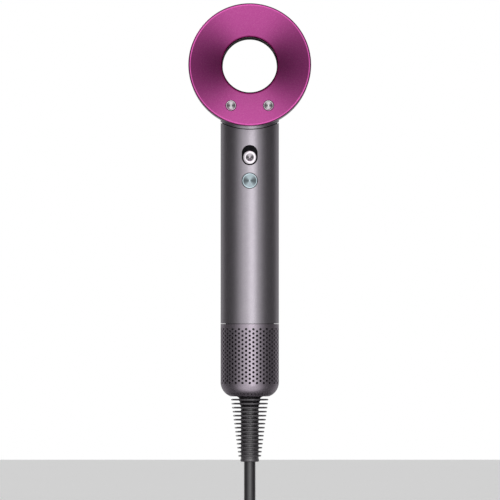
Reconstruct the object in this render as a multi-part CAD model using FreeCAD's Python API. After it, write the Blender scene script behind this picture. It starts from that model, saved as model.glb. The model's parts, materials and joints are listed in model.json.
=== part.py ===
"""Ring-headed hair dryer with its motor in the handle, in millimetres.

The origin is where the air-through bore of the head crosses the handle's axis. +Y is the way the air leaves, -Y faces
the user, +Z is up and the handle hangs down along -Z. Every separate piece is written as its own STEP file.
"""

import FreeCAD
import Part

import math
import os

Vector = FreeCAD.Vector
X, Y, Z = Vector(1, 0, 0), Vector(0, 1, 0), Vector(0, 0, 1)

# Head: rings about the Y axis.
HEAD_R = 38.6
BORE_R = 17.2
SHELL_WALL = 1.8
FLARE_R = 200.0
THROAT_ROUNDING = 3.0
RIM_INNER_R, RIM_Y, RIM_ANGLE = 37.1, -44.7, 64.0
RIM_EDGE_R, RIM_SHOULDER_R = 0.9, 2.0
SHELL_REAR_Y = -37.8
FRONT_Y = 50.0
FRONT_ROUNDING = 5.0
DUCT_WALL = 1.4
OUTLET_INNER_R, OUTLET_OUTER_R = 20.4, 22.4
SEAM = 0.3

# Handle: rings about the Z axis.
HANDLE_R = 18.4
HANDLE_INNER_R = 17.0
NECK_SEAM_R, NECK_GAP = 40.3, 0.5
HANDLE_BOTTOM_Z = -162.8
CHASSIS_R, CHASSIS_INNER_R = 15.6, 14.4
CHASSIS_Z = (-158.5, -43.0)

# Controls: CONTROL_GAP lies round each of them.
CONTROL_GAP = 0.3
SLIDER_R, SLOT_R, SLIDER_LOW_Z, SLIDER_TRAVEL = 4.3, 5.0, -58.0, 2.8
COLD_SHOT_R, COLD_SHOT_Z = 4.8, -72.7
CONTROL_FACE_Y = -18.9
HEAD_BUTTON_R, HEAD_BUTTON_X, HEAD_BUTTON_Z = 3.2, 11.8, -25.6
HEAD_BUTTON_FACE_Y = -42.2
BOARD_REAR_Y = -25.5

# Motor: air rises through the impeller, the vanes and past the stator.
SHROUD_R, SHROUD_INNER_R = 13.6, 12.9
IMPELLER_R, IMPELLER_HUB_R, IMPELLER_BLADES = 12.6, 7.0, 13
SHAFT_R, ROTOR_MAGNET_R = 1.5, 4.5
VANES = 11

# Filter cage and cord exit.
CAGE_BOTTOM_Z = -208.8
CAGE_CORNER_R = 9.5
CAGE_WALL = 1.2
CAGE_MOUTH_R = 12.15
CAGE_HOLE_R = 0.78
CAGE_COLUMNS, CAGE_ROWS, CAGE_ROW_STEP = 50, 26, 1.355
CAGE_FIRST_ROW_Z = -166.35
CORNER_HOLES, CORNER_HOLE_R = 40, 0.6
END_CAP_R, END_CAP_Z = 11.85, -208.4
RELIEF_END_Z = -250.1
FINS, FIN_PITCH, FIN_THICKNESS = 15, 2.53, 0.95
FIRST_FIN_Z, FIRST_FIN_R, FIN_TAPER = -210.9, 11.8, 0.325

# Cord, with its far part put away in a coil that lies on the surface below.
CORD_R = 3.6
FLOOR_Z = -364.3
COIL_BASE_Z = FLOOR_Z + 1.6
COIL_CENTRE = (-38.0, 79.5)
COIL_INNER_R, COIL_OUTER_R = 25.6, 54.4
TOP_TURN_R = 38.0
LAYER = 7.2
TOP_TURN_Z = COIL_BASE_Z + CORD_R + 3 * LAYER
LEAD_ROUTE = [(0, 0, -247), (0, 0, -300), (0, 37.5, TOP_TURN_Z), (0, 79.5, TOP_TURN_Z)]
TAIL_ROUTE = [
    (-38, 28.7, COIL_BASE_Z + CORD_R),
    (5, 28.7, FLOOR_Z + CORD_R),
    (32.5, 56.2, FLOOR_Z + CORD_R),
    (32.5, 94.7, FLOOR_Z + 7.2),
]
PLUG_X, PLUG_Z = 32.5, FLOOR_Z + 7.2


# ---------------------------------------------------------------- helpers


def about_z(outer, inner, low, high):
    """A ring, or a disc where inner is 0, round the Z axis."""
    solid = Part.makeCylinder(outer, high - low, Vector(0, 0, low))
    if inner:
        solid = solid.cut(Part.makeCylinder(inner, high - low, Vector(0, 0, low)))
    return solid


def about_y(outer, inner, low, high, x=0.0, z=0.0):
    """A ring, or a disc where inner is 0, round a line along Y."""
    start = Vector(x, low, z)
    solid = Part.makeCylinder(outer, high - low, start, Y)
    if inner:
        solid = solid.cut(Part.makeCylinder(inner, high - low, start, Y))
    return solid


def box(x, y, z):
    """A box from three (low, high) pairs."""
    return Part.makeBox(x[1] - x[0], y[1] - y[0], z[1] - z[0], Vector(x[0], y[0], z[0]))


def rod(start, end, radius):
    """A straight round bar between two points."""
    run = end - start
    return Part.makeCylinder(radius, run.Length, start, run)


def wire_along(points, radius):
    """A thin wire through the points, with a ball at each bend."""
    corners = [Vector(*p) for p in points]
    bars = [rod(a, b, radius) for a, b in zip(corners, corners[1:])]
    return fused(bars + [Part.makeSphere(radius, p) for p in corners[1:-1]])


def fused(solids):
    """One shape from several that overlap or touch."""
    first, *others = solids
    return first.multiFuse(others).removeSplitter() if others else first


def group(solids):
    """Separate solids kept together as one piece."""
    return Part.makeCompound(solids)


def turned(shape, degrees, axis=Z):
    copy = shape.copy()
    copy.rotate(Vector(), axis, degrees)
    return copy


def repeated(shape, count, axis=Z, start=0.0):
    return [turned(shape, start + i * 360 / count, axis) for i in range(count)]


def on_head(radius, degrees, y):
    """A point of the head at an angle from +X towards +Z."""
    angle = math.radians(degrees)
    return Vector(radius * math.cos(angle), y, radius * math.sin(angle))


class Outline:
    """A closed outline in (radius, height), turned into a solid round the Y or the Z axis."""

    def __init__(self, start):
        self.points = [start]
        self.arcs = {}

    def line(self, *ends):
        self.points += ends
        return self

    def arc(self, through, end):
        self.arcs[len(self.points) - 1] = through
        self.points.append(end)
        return self

    def solid(self, axis):
        def place(point):
            radius, height = point
            return Vector(radius, height, 0) if axis == Y else Vector(radius, 0, height)

        corners = [place(p) for p in self.points]
        edges = []
        for i, here in enumerate(corners):
            there = corners[(i + 1) % len(corners)]
            if i in self.arcs:
                edges.append(Part.Arc(here, place(self.arcs[i]), there).toShape())
            else:
                edges.append(Part.LineSegment(here, there).toShape())
        return Part.Face(Part.Wire(edges)).revolve(Vector(), axis, 360)


def on_circle(centre, radius, degrees):
    angle = math.radians(degrees)
    return (centre[0] + radius * math.cos(angle), centre[1] + radius * math.sin(angle))


# ---------------------------------------------------------------- head

FLARE_CENTRE = on_circle((RIM_INNER_R, RIM_Y), FLARE_R, RIM_ANGLE)


def flare(radius, degrees):
    """A point of the bell's flare, where its surface leans this far from the bore's axis."""
    return on_circle(FLARE_CENTRE, radius, 180 + degrees)


def flare_angle(radius, at_r):
    return math.degrees(math.acos((FLARE_CENTRE[0] - at_r) / radius))


# The rounding that leads from the bore to the flare lies inside the flare's circle and touches it.
THROAT_ANGLE = flare_angle(FLARE_R - THROAT_ROUNDING, BORE_R + THROAT_ROUNDING)
THROAT_CENTRE = flare(FLARE_R - THROAT_ROUNDING, THROAT_ANGLE)
THROAT_Y = THROAT_CENTRE[1]


def bell_face(outline):
    """Take an outline that has reached the throat out along the rounding and the flare to the rim."""
    outline.arc(on_circle(THROAT_CENTRE, THROAT_ROUNDING, 180 + THROAT_ANGLE / 2), flare(FLARE_R, THROAT_ANGLE))
    return outline.arc(flare(FLARE_R, (THROAT_ANGLE + RIM_ANGLE) / 2), flare(FLARE_R, RIM_ANGLE))


def bell_air():
    """The air in front of the bell's flare, to keep it clear."""
    outline = bell_face(Outline((0, THROAT_Y)).line((BORE_R, THROAT_Y)))
    return outline.line((RIM_INNER_R, -60), (0, -60)).solid(Y)


def rear_bell():
    """The flared skin with its narrow rounded edge and falling shoulder, and the bosses and sleeves behind it."""
    edge = flare(FLARE_R - RIM_EDGE_R, RIM_ANGLE)
    run = RIM_SHOULDER_R - RIM_EDGE_R
    fall = math.degrees(math.acos((edge[0] - HEAD_R + RIM_SHOULDER_R) / run))
    shoulder = on_circle(edge, run, 180 - fall)
    skirt_y = SHELL_REAR_Y - SEAM
    back_r = FLARE_R - SHELL_WALL
    lip_angle, foot_angle = flare_angle(back_r, 35.0), flare_angle(back_r, BORE_R + SHELL_WALL)
    skin = (
        bell_face(Outline((BORE_R, THROAT_Y)))
        .arc(on_circle(edge, RIM_EDGE_R, (RIM_ANGLE - 180 - fall) / 2), on_circle(edge, RIM_EDGE_R, -fall))
        .arc(on_circle(shoulder, RIM_SHOULDER_R, -fall / 2), (HEAD_R, shoulder[1]))
        .line((HEAD_R, skirt_y), (36.6, skirt_y), (36.6, -34.0), (35.0, -34.0), flare(back_r, lip_angle))
        .arc(flare(back_r, (lip_angle + foot_angle) / 2), flare(back_r, foot_angle))
        .line((BORE_R + SHELL_WALL, THROAT_Y))
        .solid(Y)
    )
    bosses = [about_y(2.8, 0, -42.0, -31.0, p.x, p.z) for p in screw_places()]
    posts = [about_y(1.5, 0, -40.6, BOARD_REAR_Y, x, -24.0) for x in (-20, 20)]
    sleeves = [about_y(4.6, 0, -41.0, -31.5, x, HEAD_BUTTON_Z) for x in (-HEAD_BUTTON_X, HEAD_BUTTON_X)]
    bell = fused([skin, *bosses, *posts, *sleeves]).cut(bell_air())
    for x in (-HEAD_BUTTON_X, HEAD_BUTTON_X):
        bell = bell.cut(about_y(HEAD_BUTTON_R + CONTROL_GAP, 0, -50, -20, x, HEAD_BUTTON_Z))
    for p in screw_places():
        bell = bell.cut(about_y(1.3, 0, -40.0, -30.0, p.x, p.z))
    return bell


def screw_places():
    return [on_head(33.4, angle, 0) for angle in (40, 140, 200, 340)]


def head_shell():
    inner_r = HEAD_R - SHELL_WALL
    corner = (HEAD_R - FRONT_ROUNDING, FRONT_Y - FRONT_ROUNDING)
    barrel = (
        Outline((HEAD_R, SHELL_REAR_Y))
        .line((HEAD_R, corner[1]))
        .arc(on_circle(corner, FRONT_ROUNDING, 45), (corner[0], FRONT_Y))
        .line((corner[0], FRONT_Y - SHELL_WALL))
        .arc(on_circle(corner, FRONT_ROUNDING - SHELL_WALL, 45), (inner_r, corner[1]))
        .line((inner_r, SHELL_REAR_Y))
        .solid(Y)
    )
    neck = about_z(HANDLE_R, 0, -45, -20).common(about_y(NECK_SEAM_R - NECK_GAP / 2, inner_r, -30, 30))
    spigot_r = NECK_SEAM_R + NECK_GAP / 2 - 0.02
    spigot = about_z(HANDLE_R - 0.9, 0, -45, -20).common(about_y(spigot_r, inner_r, -30, 30))
    tabs = [about_y(3.6, 0, -30.8, -29.4, p.x, p.z) for p in screw_places()]
    tabs = [tab.common(about_y(HEAD_R - 0.5, 0, -31, -29)) for tab in tabs]
    shell = fused([barrel, neck, spigot, *tabs]).cut(about_z(HANDLE_INNER_R, 0, -45, -25))
    for p in screw_places():
        shell = shell.cut(about_y(1.6, 0, -31, -29, p.x, p.z))
    return shell


def head_screws():
    screws = []
    for p in screw_places():
        head = about_y(2.5, 0, -29.4, -27.8, p.x, p.z).cut(about_y(1.0, 0, -28.7, -27.8, p.x, p.z))
        screws.append(fused([head, about_y(1.3, 0, -39.0, -29.0, p.x, p.z)]))
    return group(screws)


def inner_duct():
    outer_r = BORE_R + DUCT_WALL
    return (
        Outline((BORE_R, THROAT_Y + SEAM))
        .line((BORE_R, 44.4))
        .arc((18.2, 48.2), (OUTLET_INNER_R, FRONT_Y))
        .line((OUTLET_INNER_R, 46.6), (outer_r, 42.0), (outer_r, THROAT_Y + SEAM))
        .solid(Y)
    )


def nozzle_ring():
    opening_r = HEAD_R - FRONT_ROUNDING
    return fused(
        [
            about_y(opening_r - SEAM, OUTLET_OUTER_R, 46.0, FRONT_Y),
            about_y(opening_r + 1.2, opening_r - 2.0, 45.6, 47.3),
            about_y(OUTLET_OUTER_R + 1.2, OUTLET_OUTER_R, 43.0, 46.5),
        ]
    )


def nozzle_magnets():
    return group(repeated(about_y(2.5, 0, 44.4, 46.0, 28.2), 6, Y))


def outlet_baffle():
    plate = about_y(36.5, 18.9, 38.0, 39.5)
    slots = repeated(box((21.5, 33.5), (37, 41), (-1.3, 1.3)), 24, Y)
    return plate.cut(group(slots))


def heater_places():
    """Radius and place along the air of each turn of the heater's flat ribbon."""
    return [(radius, y) for radius in (22.5, 25.5, 28.5, 31.5) for y in range(4, 33, 4)]


def heater_wire():
    return group([about_y(r + 0.15, r - 0.15, y - 0.9, y + 0.9) for r, y in heater_places()])


def heater_ribs():
    notches = [box((r - 0.25, r + 0.25), (y - 1.0, y + 1.0), (-1, 1)) for r, y in heater_places()]
    rib = box((20.2, 34.2), (0, 34), (-0.3, 0.3)).cut(group(notches))
    return group(repeated(rib, 8, Y, 22.5))


def heat_shields():
    return group([about_y(35.2, 34.6, 0, 36), about_y(19.9, 19.3, 0, 36)])


def thermistor():
    bead = Part.makeSphere(1.1, on_head(28, 60, 36.9))
    legs = [rod(on_head(28, 60 + side, 36.9), on_head(36.2, 60 + side, 36.9), 0.25) for side in (-1, 1)]
    return fused([bead, *legs])


def thermal_fuse():
    can = rod(Vector(28, -5, -4.5), Vector(28, -5, 4.5), 1.7)
    return fused([can, rod(Vector(28, -5, -10), Vector(28, -5, 10), 0.4)])


def control_board():
    ring = about_y(36.2, 23.0, BOARD_REAR_Y, BOARD_REAR_Y + 1.4)
    return ring.common(box((-24, 24), (-28, -23), (-40, -16)))


def head_switches():
    made = []
    for x in (-HEAD_BUTTON_X, HEAD_BUTTON_X):
        body = box((x - 3, x + 3), (-28.9, BOARD_REAR_Y), (HEAD_BUTTON_Z - 3, HEAD_BUTTON_Z + 3))
        made.append(fused([body, about_y(1.5, 0, -29.2, -28.5, x, HEAD_BUTTON_Z)]))
    return group(made)


def head_button(x):
    """A pin with a domed face and a flange that keeps it in its sleeve."""
    dome_r = 6.0
    pin = about_y(HEAD_BUTTON_R, 0, HEAD_BUTTON_FACE_Y, -30.5, x, HEAD_BUTTON_Z)
    ball = Part.makeSphere(dome_r, Vector(x, HEAD_BUTTON_FACE_Y + dome_r, HEAD_BUTTON_Z))
    shank = about_y(HEAD_BUTTON_R, 0, HEAD_BUTTON_FACE_Y + 2, -30.5, x, HEAD_BUTTON_Z)
    flange = about_y(4.0, 0, -31.2, -30.2, x, HEAD_BUTTON_Z)
    return fused([pin.common(ball), shank, flange])


def fan_speed_button():
    return head_button(-HEAD_BUTTON_X)


def heat_button():
    return head_button(HEAD_BUTTON_X)


def ioniser():
    module = box((-8, 8), (-29, -21), (25, 34))
    return fused([module, rod(Vector(0, -21.5, 28), Vector(0, -6, 28), 0.4)])


# ---------------------------------------------------------------- handle and controls


def neck_seal():
    return about_z(16.9, 15.7, -46.0, -42.5)


def handle_tube():
    tube = about_z(HANDLE_R, HANDLE_INNER_R, HANDLE_BOTTOM_Z, -20).cut(about_y(NECK_SEAM_R + NECK_GAP / 2, 0, -30, 30))
    high = SLIDER_LOW_Z + SLIDER_TRAVEL
    slot = fused(
        [
            about_y(SLOT_R, 0, -25, -8, 0, SLIDER_LOW_Z),
            about_y(SLOT_R, 0, -25, -8, 0, high),
            box((-SLOT_R, SLOT_R), (-25, -8), (SLIDER_LOW_Z, high)),
        ]
    )
    return tube.cut(slot).cut(about_y(COLD_SHOT_R + CONTROL_GAP, 0, -25, -8, 0, COLD_SHOT_Z))


def chassis():
    tube = about_z(CHASSIS_R, CHASSIS_INNER_R, *CHASSIS_Z)
    window = box((-8, 8), (-20, -9), (-84, -44.5))
    cable_way = box((-3, 3), (12, 18), (-158.5, -153.0))
    board_way = box((-3, 3), (12, 18), (-99.0, -94.0))
    ledge = about_z(CHASSIS_INNER_R + 0.5, 12.6, -104.6, -103.2)
    return fused([tube, ledge]).cut(group([window, cable_way, board_way]))


def dished(x, z, radius, face_y, back_y):
    """A round control along Y with a shallow dish in its face."""
    body = about_y(radius, 0, face_y, back_y, x, z)
    dish_r, depth = 17.0, 0.45
    return body.cut(Part.makeSphere(dish_r, Vector(x, face_y - dish_r + depth, z)))


def power_slider():
    knob = dished(0, SLIDER_LOW_Z, SLIDER_R, CONTROL_FACE_Y, -14.0)
    return knob.cut(about_z(16.6, 0, SLIDER_LOW_Z - 8, SLIDER_LOW_Z + 8))


def slider_shutter():
    low, high = SLIDER_LOW_Z - 8.2, SLIDER_LOW_Z + 8.6
    sheet = about_z(16.6, 16.0, low, high).common(box((-6.2, 6.2), (-20, -10), (low, high)))
    fork = box((-1.6, 1.6), (-16.2, -9.5), (SLIDER_LOW_Z - 1.6, SLIDER_LOW_Z + 1.6))
    return fused([sheet, fork])


def cold_shot_button():
    cap = dished(0, COLD_SHOT_Z, COLD_SHOT_R, CONTROL_FACE_Y, -15.0)
    flange = about_y(5.6, 0, -15.6, -14.6, 0, COLD_SHOT_Z)
    stem = about_y(1.6, 0, -15.0, -12.3, 0, COLD_SHOT_Z)
    return fused([cap, flange, stem])


def cold_shot_spring():
    """A compression spring of square wire, made upright and then laid along Y behind the button."""
    wire, coil_r, pitch, low, high = 0.55, 2.5, 1.05, -14.2, -10.4
    helix = Part.makeHelix(pitch, high - low, coil_r)
    out, inn = coil_r + wire / 2, coil_r - wire / 2
    section = [(out, -wire / 2), (out, wire / 2), (inn, wire / 2), (inn, -wire / 2), (out, -wire / 2)]
    profile = Part.makePolygon([Vector(x, 0, z) for x, z in section])
    spring = Part.Wire(helix).makePipeShell([profile], True, True)
    spring.rotate(Vector(), X, -90)
    spring.translate(Vector(0, low, COLD_SHOT_Z))
    return spring


def switch_board():
    return box((-11, 11), (-7.0, -5.4), (-86, -47))


def power_switch():
    body = box((-4, 4), (-11.5, -7.0), (-63.5, -50.5))
    channel = box((-2.2, 2.2), (-11.5, -9.0), (-61.2, -52.0))
    return body.cut(channel)


def cold_shot_switch():
    body = box((-3.2, 3.2), (-10.0, -7.0), (COLD_SHOT_Z - 3.2, COLD_SHOT_Z + 3.2))
    return fused([body, about_y(1.2, 0, -10.8, -9.5, 0, COLD_SHOT_Z)])


def power_board():
    return box((-11.5, 11.5), (2.8, 4.4), (-101, -47))


def capacitors():
    cans = [Part.makeCylinder(3.8, 20, Vector(x, 8.3, -72)) for x in (-4.4, 4.4)]
    chips = [box((x - 3, x + 3), (4.4, 6.4), (-88, -80)) for x in (-5, 5)]
    return group(cans + chips)


def wire_harness():
    """Wires from the motor's board up past the boards to the head."""
    return group(
        [
            wire_along([(x, y, -105.9), (x, y, -104.9), (side * 12.9, y, -101.5), (side * 12.9, y, -38.5)], 0.7)
            for side, x, y in ((1, 8.2, -1.4), (1, 8.2, 1.0), (-1, -8.2, -1.4), (-1, -8.2, 1.0))
        ]
    )


def supply_wires():
    """The two mains wires from the terminal block, outside the motor, to the power board."""
    return group(
        [
            wire_along(
                [(x, 3.2, -181.5), (x, 11, -175), (x, 11, -160.2), (x, 16.3, -160.2), (x, 16.3, -96.5), (x, 4.4, -96.5)],
                0.55,
            )
            for x in (-1.5, 1.5)
        ]
    )


# ---------------------------------------------------------------- motor


def motor_shroud():
    return about_z(SHROUD_R, SHROUD_INNER_R, -150, -106.5)


def motor_mounts():
    return group([about_z(14.35, SHROUD_R, -148, -144), about_z(14.35, SHROUD_R, -113, -109)])


def motor_shaft():
    return about_z(SHAFT_R, 0, -147, -107.8)


def impeller():
    hub = (
        Outline((SHAFT_R, -146.5))
        .line((3.0, -146.5))
        .arc((6.2, -144.2), (IMPELLER_HUB_R, -141.0))
        .line((IMPELLER_HUB_R, -136.2), (SHAFT_R, -136.2))
        .solid(Z)
    )
    blade = box((5.6, 14), (-0.4, 0.4), (-9, 9))
    blade.rotate(Vector(), X, 38)
    blade.translate(Vector(0, 0, -140.3))
    blades = group(repeated(blade, IMPELLER_BLADES)).common(about_z(IMPELLER_R, 5.5, -144.0, -136.6))
    return fused([hub, *blades.Solids])


def rotor_magnet():
    return about_z(ROTOR_MAGNET_R, SHAFT_R, -126, -113)


def diffuser_vanes():
    hub = about_z(IMPELLER_HUB_R, 3.2, -135.6, -129.4)
    vane = box((6.8, 14), (-0.35, 0.35), (-8, 8))
    vane.rotate(Vector(), X, -22)
    vane.translate(Vector(0, 0, -132.5))
    vanes = group(repeated(vane, VANES)).common(about_z(SHROUD_INNER_R, 6.5, -135.6, -129.4))
    return fused([hub, *vanes.Solids])


def bearings():
    return group([about_z(3.2, SHAFT_R + 0.05, -134.5, -131.0), about_z(3.2, SHAFT_R + 0.05, -111.4, -108.6)])


def stator_core():
    yoke = about_z(11.0, 9.2, -126.5, -112.5)
    poles = repeated(box((4.0, 9.6), (-1.7, 1.7), (-126.5, -112.5)), 4)
    feet = repeated(box((10.6, SHROUD_INNER_R - 0.05), (-0.8, 0.8), (-126.5, -112.5)), 4, Z, 45)
    return fused([yoke, *poles, *feet]).cut(about_z(ROTOR_MAGNET_R + 0.4, 0, -130, -110))


def stator_windings():
    coil = box((5.7, 9.0), (-3.0, 3.0), (-128.3, -112.2)).cut(box((5, 10), (-1.75, 1.75), (-126.6, -112.4)))
    coil = coil.cut(about_z(20, 9.15, -130, -110))
    return group(repeated(coil, 4))


def motor_frame():
    rim = about_z(SHROUD_INNER_R - 0.05, 11.6, -111.4, -108.6)
    hub = about_z(4.4, 3.2, -111.4, -108.6)
    arms = repeated(box((4.2, 11.8), (-0.9, 0.9), (-111.4, -108.6)), 3, Z, 30)
    studs = [about_z(0.7, 0, -108.8, -107.4) for _ in range(3)]
    for i, stud in enumerate(studs):
        angle = math.radians(30 + 120 * i)
        stud.translate(Vector(7.6 * math.cos(angle), 7.6 * math.sin(angle), 0))
    return fused([rim, hub, *arms, *studs])


def motor_board():
    return about_z(9.6, 2.4, -107.4, -106.0)


def silencer_foam():
    return about_z(14.3, 9.6, -158.0, -151.0)


# ---------------------------------------------------------------- filter and cord exit


def cage_corner(radius):
    """Start, middle and end of the cage's rounded bottom corner, on an arc of this radius, and the arc's centre."""
    centre_r = HANDLE_R - CAGE_CORNER_R
    centre = (centre_r, CAGE_BOTTOM_Z + math.sqrt(CAGE_CORNER_R**2 - (CAGE_MOUTH_R - centre_r) ** 2))
    end = -math.degrees(math.acos((CAGE_MOUTH_R - centre_r) / radius))
    return on_circle(centre, radius, 0), on_circle(centre, radius, end / 2), on_circle(centre, radius, end), centre


def cage_holes():
    """The staggered round holes of the cage and the small ones round its bottom corner."""
    step = 360 / CAGE_COLUMNS
    holes = []
    for row in range(CAGE_ROWS):
        z = CAGE_FIRST_ROW_Z - row * CAGE_ROW_STEP
        for column in range((row + 1) % 2, CAGE_COLUMNS, 2):
            angle = math.radians(column * step - 90)
            out = Vector(math.cos(angle), math.sin(angle), 0)
            start = out * (HANDLE_R - 2 * CAGE_WALL) + Z * z
            holes.append(rod(start, start + out * 3 * CAGE_WALL, CAGE_HOLE_R))
    centre = cage_corner(CAGE_CORNER_R)[3]
    for i in range(CORNER_HOLES):
        angle = 2 * math.pi * (i + 0.5) / CORNER_HOLES
        side = Vector(math.cos(angle), math.sin(angle), 0)
        slope = side * math.cos(math.radians(51)) - Z * math.sin(math.radians(51))
        start = side * centre[0] + Z * centre[1] + slope * 7.4
        holes.append(rod(start, start + slope * 3.2, CORNER_HOLE_R))
    return holes


def filter_cage():
    top = HANDLE_BOTTOM_Z - SEAM
    outer, inner = cage_corner(CAGE_CORNER_R), cage_corner(CAGE_CORNER_R - CAGE_WALL)
    shell = (
        Outline((HANDLE_R, top))
        .line(outer[0])
        .arc(outer[1], outer[2])
        .line(inner[2])
        .arc(inner[1], inner[0])
        .line((HANDLE_R - CAGE_WALL, top))
        .solid(Z)
    )
    return shell.cut(group(cage_holes()))


def lock_ring():
    ring = about_z(16.9, 16.1, -170.0, -164.9)
    return ring.cut(group(repeated(box((15, 18), (-2, 2), (-167.0, -164.9)), 3)))


def filter_mesh():
    return about_z(15.75, 15.35, -202.5, -166.0)


def filter_stem():
    stem = about_z(15.2, 14.0, -204.0, -158.8)
    windows = repeated(box((12, 18), (-5.5, 5.5), (-200, -171)), 6, Z, 30)
    cable_way = box((-3, 3), (12, 18), (-162.0, -158.8))
    return stem.cut(group(windows + [cable_way]))


def end_cap():
    return (
        Outline((5.5, END_CAP_Z))
        .line((END_CAP_R, END_CAP_Z), (END_CAP_R, -204.2), (13.9, -204.2), (13.9, -201.5), (5.5, -201.5))
        .solid(Z)
    )


def strain_relief():
    bore = CORD_R + 0.05
    body = (
        Outline((bore, -199.0))
        .line((7.0, -199.0), (7.0, -201.3), (5.4, -201.3), (5.4, END_CAP_Z), (9.1, END_CAP_Z), (6.6, -211.8))
        .line((5.7, -213.4), (5.7, -248.0), (5.9, -248.0), (5.9, RELIEF_END_Z), (bore, RELIEF_END_Z))
        .solid(Z)
    )
    fins = []
    for i in range(FINS):
        z = FIRST_FIN_Z - i * FIN_PITCH
        fins.append(about_z(FIRST_FIN_R - i * FIN_TAPER, 5.0, z - FIN_THICKNESS / 2, z + FIN_THICKNESS / 2))
    return fused([body, *fins])


def cord_clamp():
    half = box((-9, 9), (0, 6.4), (-198.8, -193.6)).cut(about_z(CORD_R + 0.05, 0, -200, -192))
    half = half.cut(box((-9, 9), (-1, 0.4), (-200, -192)))
    holes = [rod(Vector(x, -8, -196.2), Vector(x, 8, -196.2), 1.25) for x in (-6.6, 6.6)]
    halves = [turned(half, angle).cut(group(holes)) for angle in (0, 180)]
    screws = [
        fused(
            [
                rod(Vector(x, -6.4, -196.2), Vector(x, 6.4, -196.2), 1.2),
                rod(Vector(x, -8.0, -196.2), Vector(x, -6.4, -196.2), 2.2),
            ]
        )
        for x in (-6.6, 6.6)
    ]
    return group(halves + screws)


def terminal_block():
    block = box((-7, 7), (-4, 4), (-190, -182))
    ears = [box((x - 1, x + 1), (-2, 2), (-193.4, -190)) for x in (-6, 6)]
    return fused([block, *ears]).cut(group([about_y(1.6, 0, -4, -2.5, x, -186) for x in (-3.5, 3.5)]))


# ---------------------------------------------------------------- cord and plug


def cord_along(name, route):
    """A round cord through the route's points, with an arc tangent to both runs at each bend."""
    points = [Vector(*p) for p in route]
    edges, here = [], points[0]
    for before, corner, after in zip(points, points[1:], points[2:]):
        back, on = (before - corner), (after - corner)
        shorter = min(back.Length, on.Length)
        back.normalize()
        on.normalize()
        half_turn = (math.pi - back.getAngle(on)) / 2
        tangent = 0.45 * shorter
        radius = tangent / math.tan(half_turn)
        start, end = corner + back * tangent, corner + on * tangent
        middle = corner + (back + on).normalize() * (radius / math.cos(half_turn) - radius)
        edges.append(Part.LineSegment(here, start).toShape())
        edges.append(Part.Arc(start, middle, end).toShape())
        here = end
        print(f"{name}: bend radius {radius:.1f} mm")
    edges.append(Part.LineSegment(here, points[-1]).toShape())
    path = Part.Wire(edges)
    profile = Part.Wire(Part.Circle(points[0], points[1] - points[0], CORD_R).toShape())
    tube = path.makePipeShell([profile], True, True)
    share = tube.Volume / (math.pi * CORD_R**2 * path.Length)
    print(f"{name}: length {path.Length:.1f} mm, volume {share:.4f} of section x length")
    return tube


def cord_stub():
    return about_z(CORD_R, 0, LEAD_ROUTE[0][2], -192.0)


def cord_lead():
    return cord_along("cord_lead", LEAD_ROUTE)


def cord_tail():
    return cord_along("cord_tail", TAIL_ROUTE)


def cord_coil():
    high = COIL_BASE_Z + 3 * LAYER
    bundle = fused(
        [
            about_z(COIL_OUTER_R, COIL_INNER_R, COIL_BASE_Z, high),
            about_z(TOP_TURN_R + CORD_R, TOP_TURN_R - 2 * CORD_R, high - 0.2, high + LAYER),
        ]
    )
    return bundle.translated(Vector(*COIL_CENTRE, 0))


def cord_tie():
    """A flat strap round the coil's bundle, on the side away from the handle."""
    wide, thick = 12.0, 1.4
    low, high = COIL_BASE_Z, COIL_BASE_Z + 3 * LAYER + 0.3
    out, inn = -COIL_OUTER_R - 0.6, -COIL_INNER_R + 0.6
    top = COIL_BASE_Z + 4 * LAYER + 0.3
    inside = [(out, low), (out, high), (-42.4, top), (-30.0, top), (inn, high), (inn, low)]
    outside = [
        (out - thick, low - thick), (out - thick, high + 0.9), (-42.9, top + thick), (-29.5, top + thick),
        (inn + thick, high + 0.9), (inn + thick, low - thick),
    ]  # fmt: skip

    def slab(outline, width):
        corners = [Vector(x, -width / 2, z) for x, z in outline + outline[:1]]
        return Part.Face(Part.makePolygon(corners)).extrude(Y * width)

    return slab(outside, wide).cut(slab(inside, 2 * wide)).translated(Vector(*COIL_CENTRE, 0))


def plug_body():
    end = TAIL_ROUTE[-1][1]
    x, z = PLUG_X, PLUG_Z
    shank = about_y(6.8, 0, end + 14, end + 22, x, z)
    wide = box((x - 10.5, x + 10.5), (end + 20, end + 50), (z - 7, z + 7))
    sides = [Part.makeCylinder(7, 30, Vector(x + side, end + 20, z), Y) for side in (-10.5, 10.5)]
    return fused([shank, wide, *sides])


def plug_pins():
    end = TAIL_ROUTE[-1][1]
    pins = []
    for x in (PLUG_X - 9.5, PLUG_X + 9.5):
        tip = Part.makeSphere(2.4, Vector(x, end + 66.6, PLUG_Z))
        pins.append(fused([about_y(2.4, 0, end + 50, end + 66.6, x, PLUG_Z), tip]))
    return group(pins)


def plug_relief():
    end = TAIL_ROUTE[-1][1]
    x, z = PLUG_X, PLUG_Z
    sleeve = Part.makeCone(4.6, 6.4, 14, Vector(x, end, z), Y)
    grooves = [about_y(8, 4.4 + 0.2 * i, end + 2 + 3 * i, end + 3 + 3 * i, x, z) for i in range(4)]
    return sleeve.cut(group(grooves))


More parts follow.
